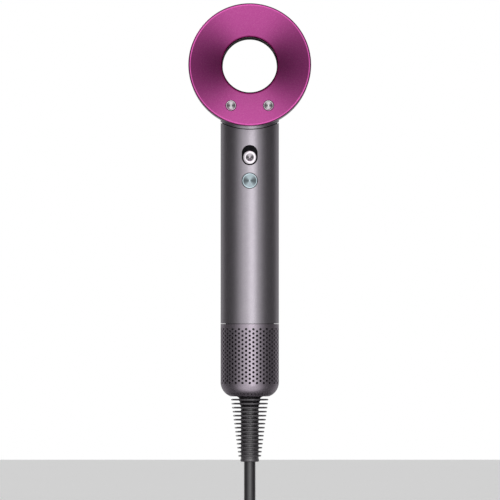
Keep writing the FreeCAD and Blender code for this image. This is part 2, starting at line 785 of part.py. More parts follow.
PIECES = [
    head_shell, rear_bell, inner_duct, nozzle_ring, nozzle_magnets, outlet_baffle, heater_ribs, heater_wire,
    heat_shields, thermistor, thermal_fuse, control_board, head_switches, ioniser, neck_seal, head_screws,
    fan_speed_button, heat_button, handle_tube, chassis, power_slider, slider_shutter, cold_shot_button,
    cold_shot_spring, switch_board, power_switch, cold_shot_switch, power_board, capacitors, wire_harness,
    supply_wires, motor_shroud, motor_mounts, motor_shaft, impeller, rotor_magnet, diffuser_vanes, bearings,
    stator_core, stator_windings, motor_frame, motor_board, silencer_foam, filter_cage, lock_ring, filter_mesh,
    filter_stem, end_cap, strain_relief, cord_clamp, terminal_block, cord_stub, cord_lead, cord_coil, cord_tail,
    cord_tie, plug_body, plug_pins, plug_relief,
]  # fmt: skip


def main():
    os.makedirs("parts", exist_ok=True)
    for make in PIECES:
        name = make.__name__
        shape = make()
        shape.exportStep(f"parts/{name}.step")
        print(f"{name}: valid {shape.isValid()}, solids {len(shape.Solids)}, {shape.Volume:.0f} mm3")


main()
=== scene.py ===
"""Looks of the ring-headed hair dryer: finishes, turned and moulded pieces, cord, light and camera.

All measures are in metres, except the outlines of turned pieces, which are in millimetres.
"""

import math

import bpy
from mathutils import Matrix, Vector
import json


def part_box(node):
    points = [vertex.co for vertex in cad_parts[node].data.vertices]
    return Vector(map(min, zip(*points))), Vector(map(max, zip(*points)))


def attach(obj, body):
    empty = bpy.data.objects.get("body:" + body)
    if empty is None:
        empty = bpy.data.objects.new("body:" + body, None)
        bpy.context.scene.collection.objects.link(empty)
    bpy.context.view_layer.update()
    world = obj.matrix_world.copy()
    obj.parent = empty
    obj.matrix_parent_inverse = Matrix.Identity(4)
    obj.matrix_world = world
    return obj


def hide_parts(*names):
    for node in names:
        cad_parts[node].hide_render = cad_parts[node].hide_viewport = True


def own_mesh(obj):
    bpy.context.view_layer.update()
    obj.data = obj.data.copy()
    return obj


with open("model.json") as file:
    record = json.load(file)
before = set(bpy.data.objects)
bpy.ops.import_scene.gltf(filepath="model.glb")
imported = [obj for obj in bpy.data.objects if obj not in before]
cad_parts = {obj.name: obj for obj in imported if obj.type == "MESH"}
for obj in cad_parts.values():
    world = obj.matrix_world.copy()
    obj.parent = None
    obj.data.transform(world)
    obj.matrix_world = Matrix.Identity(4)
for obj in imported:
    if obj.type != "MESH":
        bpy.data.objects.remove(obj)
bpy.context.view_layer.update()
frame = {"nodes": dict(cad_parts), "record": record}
nodes = frame["nodes"]

X, Y, Z = Vector((1, 0, 0)), Vector((0, 1, 0)), Vector((0, 0, 1))

MM = 0.001
FLOOR_Z = -0.3643
CORD_D = 0.0072
CORD_R = CORD_D / 2
COIL_CENTRE = (-0.038, 0.0795)
COIL_BASE_Z = FLOOR_Z + 0.0016
COIL_LAYERS = 4
COIL_POINTS_PER_TURN = 16
TOP_TURN_Z = COIL_BASE_Z + CORD_R + (COIL_LAYERS - 1) * CORD_D
SMOOTH_UNDER = 35.0


# ---------------------------------------------------------------- camera


def place_camera():
    """A long lens, level with the middle of the handle, looking straight at the user's side."""
    lens_mm, sensor_mm = 914.0, 36.0
    view_width, middle = 0.315, Vector((0.00016, -0.02, -0.1164))
    data = bpy.data.cameras.new("camera")
    data.lens = lens_mm
    data.sensor_width = sensor_mm
    distance = view_width * lens_mm / sensor_mm
    data.clip_start, data.clip_end = 0.1, 50.0
    camera = bpy.data.objects.new("camera", data)
    camera.location = middle - Y * distance
    camera.rotation_euler = (math.pi / 2, 0, 0)
    bpy.context.scene.collection.objects.link(camera)
    bpy.context.scene.camera = camera


place_camera()


# ---------------------------------------------------------------- cord


def coil_turns(turns, start_r, end_r, start_angle, start_z, end_z):
    """Points round the coil, from one radius and height to another."""
    count = round(turns * COIL_POINTS_PER_TURN)
    points = []
    for i in range(count):
        share = i / count
        angle = start_angle + 2 * math.pi * turns * share
        r = start_r + (end_r - start_r) * share
        z = start_z + (end_z - start_z) * share
        points.append((COIL_CENTRE[0] + r * math.cos(angle), COIL_CENTRE[1] + r * math.sin(angle), z))
    return points


def cord_points():
    """The cord's line: out of the relief, down behind it, round the coil layer by layer, and to the plug."""
    layer_z = [TOP_TURN_Z - i * CORD_D for i in range(COIL_LAYERS)]
    inner, outer = 0.0292, 0.0508
    lead = [(0, 0, -0.247), (0, 0, -0.300), (0, 0.0375, TOP_TURN_Z), (0, 0.0640, TOP_TURN_Z)]
    angle, coil = 0.0, []
    for turns, start_r, end_r, start_z, end_z in [
        (1.0, 0.0380, 0.0306, layer_z[0], layer_z[0]),
        (0.375, 0.0306, inner, layer_z[0], layer_z[1]),
        (3.0, inner, outer, layer_z[1], layer_z[1]),
        (0.375, outer, outer, layer_z[1], layer_z[2]),
        (3.0, outer, inner, layer_z[2], layer_z[2]),
        (0.375, inner, 0.0300, layer_z[2], layer_z[3]),
        (1.625, 0.0300, outer, layer_z[3], layer_z[3]),
    ]:
        coil += coil_turns(turns, start_r, end_r, angle, start_z, end_z)
        angle += 2 * math.pi * turns
    tail = [
        (COIL_CENTRE[0], 0.0287, COIL_BASE_Z + CORD_R),
        (0.005, 0.0287, FLOOR_Z + CORD_R),
        (0.0325, 0.0562, FLOOR_Z + CORD_R),
        (0.0325, 0.0947, FLOOR_Z + 0.0072),
    ]
    return lead + coil + tail


def make_cord():
    points = cord_points()
    data = bpy.data.curves.new("cord", "CURVE")
    data.dimensions = "3D"
    data.bevel_depth = 1.0
    data.bevel_resolution = 6
    data.resolution_u = 6
    data.use_fill_caps = True
    spline = data.splines.new("NURBS")
    spline.points.add(len(points) - 1)
    for point, place in zip(spline.points, points):
        point.co = (*place, 1)
        point.radius = CORD_R
    spline.order_u = 3
    spline.use_endpoint_u = True
    cord = bpy.data.objects.new("cord", data)
    bpy.context.scene.collection.objects.link(cord)
    return cord


cord = make_cord()
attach(cord, "dryer")
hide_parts("cord_lead", "cord_coil", "cord_tail")


# ---------------------------------------------------------------- shared effects


def new_group(name, inputs, outputs):
    group = bpy.data.node_groups.new(name, "ShaderNodeTree")
    for label, kind, value in inputs:
        socket = group.interface.new_socket(name=label, in_out="INPUT", socket_type=kind)
        if value is not None:
            socket.default_value = value
    for label, kind in outputs:
        group.interface.new_socket(name=label, in_out="OUTPUT", socket_type=kind)
    return group, Nodes(group)


class Nodes:
    """Short hands for adding and joining nodes in one tree."""

    def __init__(self, tree):
        self.tree = tree

    def add(self, kind, **values):
        node = self.tree.nodes.new("ShaderNode" + kind)
        for key, value in values.items():
            setattr(node, key, value)
        return node

    def join(self, out, socket):
        self.tree.links.new(out, socket)

    def set(self, socket, value):
        if isinstance(value, bpy.types.NodeSocket):
            self.join(value, socket)
        else:
            socket.default_value = value

    def math(self, operation, a, b=0.0, clamp=False):
        node = self.add("Math", operation=operation, use_clamp=clamp)
        for socket, value in zip(node.inputs, (a, b)):
            self.set(socket, value)
        return node.outputs[0]

    def length(self, a, b):
        """The length of the flat vector (a, b)."""
        squares = self.math("ADD", self.math("MULTIPLY", a, a), self.math("MULTIPLY", b, b))
        return self.math("SQRT", squares)

    def mix(self, share, a, b):
        """Colour a where share is 0, colour b where it is 1."""
        node = self.add("Mix", data_type="RGBA")
        for socket, value in zip((node.inputs[0], node.inputs[6], node.inputs[7]), (share, a, b)):
            self.set(socket, value)
        return node.outputs[2]

    def noise(self, vector, scale, detail=4.0, roughness=0.5):
        node = self.add("TexNoise")
        values = {"Vector": vector, "Scale": scale, "Detail": detail, "Roughness": roughness}
        for key, value in values.items():
            self.set(node.inputs[key], value)
        return node.outputs["Fac"]

    def ramp(self, value, low, high):
        """Zero below low, one above high."""
        node = self.add("MapRange", interpolation_type="SMOOTHSTEP")
        for key, number in (("Value", value), ("From Min", low), ("From Max", high)):
            self.set(node.inputs[key], number)
        return node.outputs[0]


def group_ends(tree):
    return tree.nodes.new("NodeGroupInput"), tree.nodes.new("NodeGroupOutput")


def make_fine_grain():
    """The tiny unevenness of a painted or moulded skin: a height, and a roughness that wanders a little."""
    group, n = new_group(
        "fine_grain",
        [
            ("Vector", "NodeSocketVector", None),
            ("Scale", "NodeSocketFloat", 2500.0),
            ("Roughness", "NodeSocketFloat", 0.4),
            ("Spread", "NodeSocketFloat", 0.05),
        ],
        [("Height", "NodeSocketFloat"), ("Roughness", "NodeSocketFloat")],
    )
    into, out = group_ends(group)
    fine = n.noise(into.outputs["Vector"], into.outputs["Scale"], 3.0)
    broad = n.noise(into.outputs["Vector"], n.math("MULTIPLY", into.outputs["Scale"], 0.025), 5.0, 0.6)
    n.join(fine, out.inputs["Height"])
    wander = n.math("MULTIPLY", n.math("SUBTRACT", broad, 0.5), into.outputs["Spread"])
    rough = n.math("ADD", into.outputs["Roughness"], n.math("MULTIPLY", wander, 2.0))
    n.join(rough, out.inputs["Roughness"])
    return group


def make_flake():
    """Metallic flake under lacquer: a colour with tiny lighter specks."""
    group, n = new_group(
        "metal_flake",
        [
            ("Vector", "NodeSocketVector", None),
            ("Scale", "NodeSocketFloat", 3500.0),
            ("Color", "NodeSocketColor", (0.5, 0.5, 0.5, 1)),
            ("Speck Color", "NodeSocketColor", (0.8, 0.8, 0.8, 1)),
            ("Amount", "NodeSocketFloat", 0.3),
        ],
        [("Color", "NodeSocketColor")],
    )
    into, out = group_ends(group)
    cells = n.add("TexVoronoi", feature="F1")
    n.join(into.outputs["Vector"], cells.inputs["Vector"])
    n.join(into.outputs["Scale"], cells.inputs["Scale"])
    parts = n.add("SeparateColor")
    n.join(cells.outputs["Color"], parts.inputs["Color"])
    chosen = n.ramp(parts.outputs["Red"], 0.55, 0.95)
    share = n.math("MULTIPLY", chosen, into.outputs["Amount"])
    specked = n.mix(share, into.outputs["Color"], into.outputs["Speck Color"])
    n.join(specked, out.inputs["Color"])
    return group


def make_edge_wear():
    """A mask along the convex edges, broken up by noise."""
    group, n = new_group(
        "edge_wear",
        [("Vector", "NodeSocketVector", None), ("Amount", "NodeSocketFloat", 0.5)],
        [("Mask", "NodeSocketFloat")],
    )
    into, out = group_ends(group)
    geometry = n.add("NewGeometry")
    edge = n.ramp(geometry.outputs["Pointiness"], 0.56, 0.66)
    patches = n.ramp(n.noise(into.outputs["Vector"], 260.0, 4.0, 0.65), 0.42, 0.62)
    mask = n.math("MULTIPLY", n.math("MULTIPLY", edge, patches), into.outputs["Amount"])
    n.join(mask, out.inputs["Mask"])
    return group


def make_dust():
    """A thin uneven film that settles on what faces up."""
    group, n = new_group(
        "settled_dust",
        [("Vector", "NodeSocketVector", None), ("Amount", "NodeSocketFloat", 0.1)],
        [("Mask", "NodeSocketFloat")],
    )
    into, out = group_ends(group)
    geometry = n.add("NewGeometry")
    parts = n.add("SeparateXYZ")
    n.join(geometry.outputs["Normal"], parts.inputs["Vector"])
    up = n.ramp(parts.outputs["Z"], 0.2, 1.0)
    clumps = n.noise(into.outputs["Vector"], 90.0, 6.0, 0.7)
    film = n.math("ADD", n.math("MULTIPLY", clumps, 0.8), 0.2)
    mask = n.math("MULTIPLY", n.math("MULTIPLY", up, film), into.outputs["Amount"])
    n.join(mask, out.inputs["Mask"])
    return group


GRAIN, FLAKE, WEAR, DUST = make_fine_grain(), make_flake(), make_edge_wear(), make_dust()


class Finish:
    """One material: its shader, its object coordinates and the shared effects placed in it."""

    def __init__(self, name, **constants):
        self.material = bpy.data.materials.new(name)
        self.material.use_nodes = True
        tree = self.material.node_tree
        self.n = Nodes(tree)
        self.shader = tree.nodes["Principled BSDF"]
        self.place = self.n.add("TexCoord").outputs["Object"]
        for label, value in constants.items():
            self.shader.inputs[label.replace("_", " ")].default_value = value

    def effect(self, group, **values):
        node = self.n.tree.nodes.new("ShaderNodeGroup")
        node.node_tree = group
        if "Vector" in node.inputs:
            self.n.join(self.place, node.inputs["Vector"])
        for label, value in values.items():
            self.n.set(node.inputs[label.replace("_", " ")], value)
        return node.outputs

    def axes(self):
        """The object coordinates as three separate values."""
        node = self.n.add("SeparateXYZ")
        self.n.join(self.place, node.inputs[0])
        return node.outputs

    def pattern(self, kind, scale, **values):
        """A texture node laid on the object coordinates."""
        node = self.n.add(kind, **values)
        self.n.join(self.place, node.inputs["Vector"])
        node.inputs["Scale"].default_value = scale
        return node

    def bump(self, height, strength, distance):
        node = self.n.add("Bump")
        self.n.set(node.inputs["Height"], height)
        node.inputs["Strength"].default_value = strength
        node.inputs["Distance"].default_value = distance
        return node.outputs[0]

    def use(self, **links):
        for label, out in links.items():
            self.n.join(out, self.shader.inputs[label.replace("_", " ")])
        return self


def rgb(r, g, b):
    return (r, g, b, 1.0)


def darker(colour, share):
    return tuple(c * share for c in colour[:3]) + (1.0,)


# ---------------------------------------------------------------- finishes


RUBBED_PAINT = rgb(0.62, 0.60, 0.62)
PALE_DUST, GREY_DUST, FINE_DUST = rgb(0.55, 0.53, 0.50), rgb(0.42, 0.40, 0.38), rgb(0.30, 0.29, 0.28)
# Painted shade: the black given to the floor of the head's neck seam.
SEAM_SHADE_BLACK = rgb(0.004, 0.004, 0.005)
SLEEVE_BLACK, PLATED_BRASS = rgb(0.012, 0.012, 0.014), rgb(0.75, 0.70, 0.62)
SHARP_EDGE = 0.00002
BANDS_PER_METRE = 3.18  # of a wave texture at scale 1


def painted(name, colour, speck, roughness, metallic, coat=0.0, coat_rough=0.1, grain=0.06, seam_shade_from=None):
    """Metallic paint over a moulded shell, with worn edges and a trace of dust.

    Past the last argument, a distance from the head's axis, the neck seam's floor is made black and matt:
    painted shade in the gap.
    """
    f = Finish(name, Metallic=metallic, Coat_Weight=coat, Coat_Roughness=coat_rough)
    flakes = f.effect(FLAKE, Color=colour, Speck_Color=speck, Amount=0.2)
    grains = f.effect(GRAIN, Scale=1800.0, Roughness=roughness, Spread=0.012)
    worn = f.effect(WEAR, Amount=0.05)["Mask"]
    dust = f.effect(DUST, Amount=0.05)["Mask"]
    base = f.n.mix(worn, flakes["Color"], RUBBED_PAINT)
    base = f.n.mix(dust, base, PALE_DUST)
    rough = f.n.math("ADD", grains["Roughness"], f.n.math("MULTIPLY", dust, 0.8), clamp=True)
    f.use(Base_Color=base, Roughness=rough, Normal=f.bump(grains["Height"], grain, 0.00004))
    # Painted shade: past this distance from the head's axis, the neck seam's floor is made black, matt and
    # not metallic, standing for the shade in the gap.
    if seam_shade_from:
        at = f.axes()
        away = f.n.length(at["X"], at["Z"])
        bare_pin_and_seam_shade = f.n.ramp(away, seam_shade_from - SHARP_EDGE, seam_shade_from + SHARP_EDGE)
        f.use(
            Base_Color=f.n.mix(bare_pin_and_seam_shade, base, SEAM_SHADE_BLACK),
            Metallic=f.n.math("SUBTRACT", metallic, f.n.math("MULTIPLY", bare_pin_and_seam_shade, metallic)),
            Roughness=f.n.math("ADD", rough, f.n.math("MULTIPLY", bare_pin_and_seam_shade, 0.5), clamp=True),
        )
    return f.material


def moulded(name, colour, roughness, scale=2200.0, grain=0.35, dust=0.10, shine=0.45):
    """Plain moulded polymer with a fine spark-eroded grain."""
    f = Finish(name, Specular_IOR_Level=shine)
    grains = f.effect(GRAIN, Scale=scale, Roughness=roughness, Spread=0.08)
    worn = f.effect(WEAR, Amount=0.5)["Mask"]
    film = f.effect(DUST, Amount=dust)["Mask"]
    scuffed = tuple(min(1.0, c * 1.35 + 0.02) for c in colour[:3]) + (1.0,)
    base = f.n.mix(worn, colour, scuffed)
    base = f.n.mix(film, base, GREY_DUST)
    return f.use(
        Base_Color=base, Roughness=grains["Roughness"], Normal=f.bump(grains["Height"], grain, 0.00005)
    ).material


def rubber(name, colour, roughness, coat, grain):
    """Satin elastomer: a fine skin, a soft shine and a trace of dust."""
    f = Finish(name, Specular_IOR_Level=0.85, Coat_Weight=coat, Coat_Roughness=0.34)
    grains = f.effect(GRAIN, Scale=2000.0, Roughness=roughness, Spread=0.06)
    film = f.effect(DUST, Amount=0.10)["Mask"]
    base = f.n.mix(film, colour, FINE_DUST)
    return f.use(
        Base_Color=base, Roughness=grains["Roughness"], Normal=f.bump(grains["Height"], grain, 0.00004)
    ).material


def metal(name, colour, roughness, grain=0.12, scale=(900.0, 900.0, 900.0)):
    """Plain metal with faint streaks; an uneven scale draws them out."""
    f = Finish(name, Metallic=1.0)
    mapping = f.n.add("Mapping")
    f.n.join(f.place, mapping.inputs["Vector"])
    mapping.inputs["Scale"].default_value = scale
    streaks = f.n.noise(mapping.outputs[0], 1.0, 4.0, 0.6)
    base = f.n.mix(f.n.math("MULTIPLY", streaks, 0.25), colour, darker(colour, 0.72))
    rough = f.n.math("ADD", f.n.math("MULTIPLY", streaks, 0.14), roughness - 0.07, clamp=True)
    return f.use(Base_Color=base, Roughness=rough, Normal=f.bump(streaks, grain, 0.00003)).material


def spun(name, centre_x, centre_z, colour, roughness):
    """Metal faced on a lathe: fine rings round the control's own middle."""
    f = Finish(name, Metallic=1.0, Anisotropic=0.5)
    at = f.axes()
    dx = f.n.math("SUBTRACT", at["X"], centre_x)
    dz = f.n.math("SUBTRACT", at["Z"], centre_z)
    rings = f.n.add("CombineXYZ")
    f.n.join(f.n.length(dx, dz), rings.inputs[0])
    lines = f.n.noise(rings.outputs[0], 5200.0, 5.0, 0.7)
    base = f.n.mix(f.n.math("MULTIPLY", lines, 0.3), colour, darker(colour, 0.6))
    rough = f.n.math("ADD", f.n.math("MULTIPLY", lines, 0.08), roughness - 0.04, clamp=True)
    outwards = f.n.add("CombineXYZ")
    f.n.join(dx, outwards.inputs["X"])
    f.n.join(dz, outwards.inputs["Z"])
    f.n.join(outwards.outputs[0], f.shader.inputs["Tangent"])
    return f.use(Base_Color=base, Roughness=rough, Normal=f.bump(lines, 0.12, 0.00002)).material


def board(name):
    """Green solder mask with paler tracks and bright pads."""
    f = Finish(name, Specular_IOR_Level=0.5)
    brick = f.n.add("TexBrick", offset=0.5)
    mapping = f.n.add("Mapping")
    f.n.join(f.place, mapping.inputs["Vector"])
    mapping.inputs["Rotation"].default_value = (math.pi / 2, 0, 0)
    f.n.join(mapping.outputs[0], brick.inputs["Vector"])
    brick.inputs["Color1"].default_value = rgb(0.012, 0.10, 0.045)
    brick.inputs["Color2"].default_value = rgb(0.016, 0.13, 0.055)
    brick.inputs["Mortar"].default_value = rgb(0.03, 0.20, 0.09)
    brick.inputs["Scale"].default_value = 420.0
    brick.inputs["Mortar Size"].default_value = 0.03
    dots = f.pattern("TexVoronoi", 380.0, feature="F1")
    pad = f.n.ramp(dots.outputs["Distance"], 0.24, 0.2)
    base = f.n.mix(pad, brick.outputs["Color"], rgb(0.62, 0.60, 0.55))
    grains = f.effect(GRAIN, Roughness=0.38, Spread=0.1)
    return f.use(
        Base_Color=base,
        Metallic=f.n.math("MULTIPLY", pad, 0.9),
        Roughness=grains["Roughness"],
        Normal=f.bump(f.n.math("ADD", brick.outputs["Fac"], pad), 0.3, 0.00005),
    ).material


def wound(name, colour, pitch, axis):
    """Enamelled wire lying side by side."""
    f = Finish(name, Metallic=0.85, Coat_Weight=0.5, Coat_Roughness=0.15)
    wave = f.pattern("TexWave", 1.0 / pitch / BANDS_PER_METRE, wave_type="BANDS", bands_direction=axis)
    wave.inputs["Distortion"].default_value = 0.4
    base = f.n.mix(wave.outputs["Fac"], darker(colour, 0.35), colour)
    grains = f.effect(GRAIN, Roughness=0.3, Spread=0.08)
    return f.use(
        Base_Color=base, Roughness=grains["Roughness"], Normal=f.bump(wave.outputs["Fac"], 0.8, 0.0002)
    ).material


def woven_mesh(name):
    """Fine woven steel cloth round the handle's axis."""
    wires_round, wire_pitch = 180.0, 0.00055
    f = Finish(name, Metallic=1.0)
    at = f.axes()
    turn = f.n.math("ARCTAN2", at["Y"], at["X"])
    across = f.n.math("SINE", f.n.math("MULTIPLY", turn, wires_round))
    along = f.n.math("SINE", f.n.math("MULTIPLY", at["Z"], 2 * math.pi / wire_pitch))
    weave = f.n.math("ADD", f.n.math("MULTIPLY", f.n.math("MULTIPLY", across, along), 0.5), 0.5)
    base = f.n.mix(weave, rgb(0.03, 0.03, 0.035), rgb(0.20, 0.19, 0.20))
    grains = f.effect(GRAIN, Roughness=0.45, Spread=0.1)
    return f.use(Base_Color=base, Roughness=grains["Roughness"], Normal=f.bump(weave, 0.7, 0.0002)).material


def porous(name, colour):
    """Open-cell foam."""
    f = Finish(name, Roughness=0.95)
    cells = f.pattern("TexVoronoi", 1400.0, feature="F1")
    base = f.n.mix(cells.outputs["Distance"], darker(colour, 0.2), colour)
    return f.use(Base_Color=base, Normal=f.bump(cells.outputs["Distance"], 1.0, 0.0004)).material


def layered(name, colour, axis):
    """Thin stacked sheets."""
    f = Finish(name, Metallic=0.9)
    wave = f.pattern("TexWave", 640.0, wave_type="BANDS", bands_direction=axis)
    base = f.n.mix(wave.outputs["Fac"], darker(colour, 0.5), colour)
    grains = f.effect(GRAIN, Roughness=0.42, Spread=0.1)
    return f.use(
        Base_Color=base, Roughness=grains["Roughness"], Normal=f.bump(wave.outputs["Fac"], 0.5, 0.0001)
    ).material


def pile(name, colour):
    """The soft loops of a hook-and-loop strap."""
    f = Finish(name, Sheen_Weight=0.5, Sheen_Roughness=0.4, Specular_IOR_Level=0.2)
    loops = f.n.noise(f.place, 2600.0, 3.0, 0.7)
    base = f.n.mix(loops, darker(colour, 0.4), colour)
    grains = f.effect(GRAIN, Scale=1500.0, Roughness=0.88, Spread=0.05)
    return f.use(Base_Color=base, Roughness=grains["Roughness"], Normal=f.bump(loops, 0.9, 0.0002)).material


def plug_pin(name):
    """A plated pin with a black sleeve over the half next to the plug."""
    sleeve_length = 0.0095
    f = Finish(name)
    sleeve_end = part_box("plug_pins")[0][1] + sleeve_length
    bare_pin_and_seam_shade = f.n.ramp(f.axes()["Y"], sleeve_end, sleeve_end + 0.0001)
    grains = f.effect(GRAIN, Scale=1400.0, Roughness=0.24, Spread=0.06)
    base = f.n.mix(bare_pin_and_seam_shade, SLEEVE_BLACK, PLATED_BRASS)
    rough = f.n.math("SUBTRACT", f.n.math("ADD", grains["Roughness"], 0.2), f.n.math("MULTIPLY", bare_pin_and_seam_shade, 0.2))
    return f.use(Base_Color=base, Metallic=bare_pin_and_seam_shade, Roughness=rough, Normal=f.bump(bare_pin_and_seam_shade, 1.0, 0.0001)).material


MAUVE_GREY, MAUVE_SPECK = rgb(0.385, 0.355, 0.395), rgb(0.62, 0.58, 0.64)
CAGE_GREY, CAGE_SPECK = rgb(0.38, 0.33, 0.385), rgb(0.62, 0.56, 0.64)
MAGENTA, MAGENTA_SPECK = rgb(0.475, 0.046, 0.285), rgb(0.78, 0.22, 0.53)
# Painted shade: a near black for the shutter in the slot and the inner duct, so they read as unlit.
SHADE_BLACK = rgb(0.006, 0.006, 0.008)
PALE_ALLOY, WARM_ALLOY, COOL_ALLOY = rgb(0.64, 0.61, 0.64), rgb(0.58, 0.54, 0.58), rgb(0.42, 0.51, 0.55)
# How far from the head's axis the painted shade of the neck seam begins.
NECK_SEAM_SHADE_FROM = 0.04006
HEAD_BUTTON_X, HEAD_BUTTON_Z = 0.0118, -0.0256
POWER_KNOB_Z, COLD_SHOT_Z = -0.058, -0.0727

FINISHES = {
    "satin_shell": painted("satin_mauve_grey", MAUVE_GREY, MAUVE_SPECK, 0.33, 0.92),
    "bell_magenta": painted(
        "magenta_lacquer", MAGENTA, MAGENTA_SPECK, 0.3, 1.0, coat=0.75, coat_rough=0.2, grain=0.05
    ),
    "dark_polymer": moulded("dark_polymer", rgb(0.035, 0.034, 0.038), 0.5),
    "black_polymer": moulded("black_polymer", rgb(0.012, 0.012, 0.014), 0.42),
    "cage_polymer": painted("satin_cage", CAGE_GREY, CAGE_SPECK, 0.34, 0.9),
    "magnet_metal": metal("nickel_plate", rgb(0.62, 0.60, 0.57), 0.22),
    "steel": metal("plain_steel", rgb(0.52, 0.52, 0.54), 0.3, 0.2, (900.0, 200.0, 900.0)),
    "mica": moulded("mica_sheet", rgb(0.55, 0.47, 0.30), 0.35, 900.0, 0.5),
    "resistance_wire": metal("resistance_ribbon", rgb(0.42, 0.38, 0.36), 0.4),
    "circuit_board": board("solder_mask"),
    "ceramic": moulded("matt_ceramic", rgb(0.72, 0.70, 0.64), 0.6, 1500.0, 0.3),
    "copper": wound("enamelled_copper", rgb(0.75, 0.30, 0.12), 0.0004, "Z"),
    "electrical_steel": layered("stacked_sheets", rgb(0.36, 0.36, 0.38), "Z"),
    "soft_rubber": rubber("soft_rubber", rgb(0.066, 0.059, 0.068), 0.33, 1.0, 0.2),
    "foam": porous("open_foam", rgb(0.07, 0.07, 0.08)),
    "mesh_metal": woven_mesh("woven_mesh"),
    "cord_pvc": rubber("cord_jacket", rgb(0.026, 0.024, 0.028), 0.38, 0.6, 0.2),
    "pin_metal": plug_pin("plated_pin"),
}
OWN_FINISHES = {
    "head_shell": painted("satin_head_seam_shade", MAUVE_GREY, MAUVE_SPECK, 0.33, 0.92, seam_shade_from=NECK_SEAM_SHADE_FROM),
    # Painted shade: the shutter is made near-black, matt and dustless, standing for the shade in the slot.
    "slider_shutter": moulded("matt_shutter_painted_shade", SHADE_BLACK, 0.7, shine=0.1, dust=0.0),
    # Painted shade: the duct is made near-black, matt and dustless, standing for the shade inside the bore.
    "inner_duct": moulded("matt_duct_painted_shade", SHADE_BLACK, 0.7, shine=0.05, dust=0.0),
    "cord_tie": pile("strap_pile", rgb(0.045, 0.043, 0.048)),
    "fan_speed_button": spun("spun_fan_speed", -HEAD_BUTTON_X, HEAD_BUTTON_Z, PALE_ALLOY, 0.15),
    "heat_button": spun("spun_heat", HEAD_BUTTON_X, HEAD_BUTTON_Z, PALE_ALLOY, 0.15),
    "power_slider": spun("spun_power", 0.0, POWER_KNOB_Z, WARM_ALLOY, 0.17),
    "cold_shot_button": spun("spun_cold_shot", 0.0, COLD_SHOT_Z, COOL_ALLOY, 0.13),
    "impeller": metal("cast_impeller", rgb(0.66, 0.67, 0.70), 0.3),
    "motor_frame": metal("turned_frame", rgb(0.6, 0.6, 0.62), 0.32),
}


# ---------------------------------------------------------------- working by hand


def let_go():
    bpy.ops.object.select_all(action="DESELECT")


def alone(piece):
    let_go()
    piece.select_set(True)
    bpy.context.view_layer.objects.active = piece


def join_to(piece, others):
    """Join the others into the piece, as one mesh."""
    alone(piece)
    for other in others:
        other.select_set(True)
    bpy.ops.object.join()


def recalculate_normals():
    bpy.ops.mesh.select_all(action="SELECT")
    bpy.ops.mesh.normals_make_consistent(inside=False)


def apply(piece, kind, **values):
    """Add one modifier, set it and apply it."""
    alone(piece)
    modifier = piece.modifiers.new(kind.lower(), kind)
    for key, value in values.items():
        setattr(modifier, key, value)
    bpy.ops.object.modifier_apply(modifier=modifier.name)


def round_edges(piece, width, segments=3, angle=30.0):
    limit = math.radians(angle)
    apply(piece, "BEVEL", width=width, segments=segments, limit_method="ANGLE", angle_limit=limit)


def cut_away(piece, cutter):
    apply(piece, "BOOLEAN", operation="DIFFERENCE", object=cutter, solver="EXACT")
    bpy.data.objects.remove(cutter)


def finished(piece, body, slot, material, *replaced):
    """Smooth the piece, give it its finish and tie it to its body and to the parts it stands for."""
    alone(piece)
    bpy.ops.object.shade_smooth_by_angle(angle=math.radians(SMOOTH_UNDER))
    piece.data.materials.append(material)
    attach(piece, body)
    if replaced:
        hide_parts(*replaced)
    return piece


def begin_at(name, place):
    """A new piece that is a single point, in edit mode and ready to be extruded."""
    let_go()
    bpy.ops.mesh.primitive_plane_add(size=MM)
    piece = bpy.context.object
    piece.name = piece.data.name = name
    bpy.ops.object.mode_set(mode="EDIT")
    bpy.ops.mesh.select_all(action="SELECT")
    bpy.ops.mesh.merge(type="CENTER")
    bpy.ops.transform.translate(value=place)
    return piece


def extrude_through(corners):
    """Draw what is selected out from corner to corner."""
    for here, there in zip(corners, corners[1:]):
        bpy.ops.mesh.extrude_region_move(TRANSFORM_OT_translate={"value": there - here})


def turned_piece(name, outline, centre, axis, steps=96):
    """Extrude a point along an outline of (radius, along), then spin it once round the axis."""
    corners = [Vector(centre) + X * radius * MM + axis * along * MM for radius, along in outline]
    piece = begin_at(name, corners[0])
    extrude_through(corners)
    bpy.ops.mesh.select_all(action="SELECT")
    bpy.ops.mesh.spin(steps=steps, angle=2 * math.pi, center=centre, axis=axis)
    bpy.ops.mesh.select_all(action="SELECT")
    bpy.ops.mesh.remove_doubles(threshold=1e-6)
    recalculate_normals()
    bpy.ops.object.mode_set(mode="OBJECT")
    return piece


def cone(slope, end, steps=7):
    """Outline points of a face turned as a shallow cone with a soft tip, from its middle out."""
    soft, rise = 0.35, math.tan(math.radians(slope))
    spread = [end * i / steps for i in range(steps + 1)]
    return [(r, rise * (math.hypot(r, soft) - soft)) for r in spread]


def cup(slope, end, steps=8):
    """Outline points of a face hollowed the same way, which meets the level of its edge."""
    points = cone(slope, end, steps)
    return [(r, points[-1][1] - rise) for r, rise in points]


def centre_of(node, face_y):
    """The point in the middle of a node's box, across and up, at the level face_y."""
    low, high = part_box(node)
    return Vector(((low[0] + high[0]) / 2, face_y, (low[2] + high[2]) / 2))


def head_pin(node):
    """A turned metal pin with a coned face, a fine groove near its edge and the flange that keeps it in."""
    low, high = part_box(node)
    length = (high[1] - low[1]) / MM
    pin_r, flange_r, flange_back = 3.2, 4.0, length - 1.0
    outline = cone(30.0, 2.6) + [(2.66, 1.4), (2.8, 1.44), (2.86, 1.38), (3.1, 1.5), (pin_r, 1.7)]
    outline += [(pin_r, flange_back), (flange_r, flange_back), (flange_r, length), (0.0, length)]
    pin = turned_piece(node + "_pin", outline, centre_of(node, low[1]), Y, 72)
    round_edges(pin, 0.06 * MM, 2)
    return finished(pin, node, "spun_metal", OWN_FINISHES[node], node)


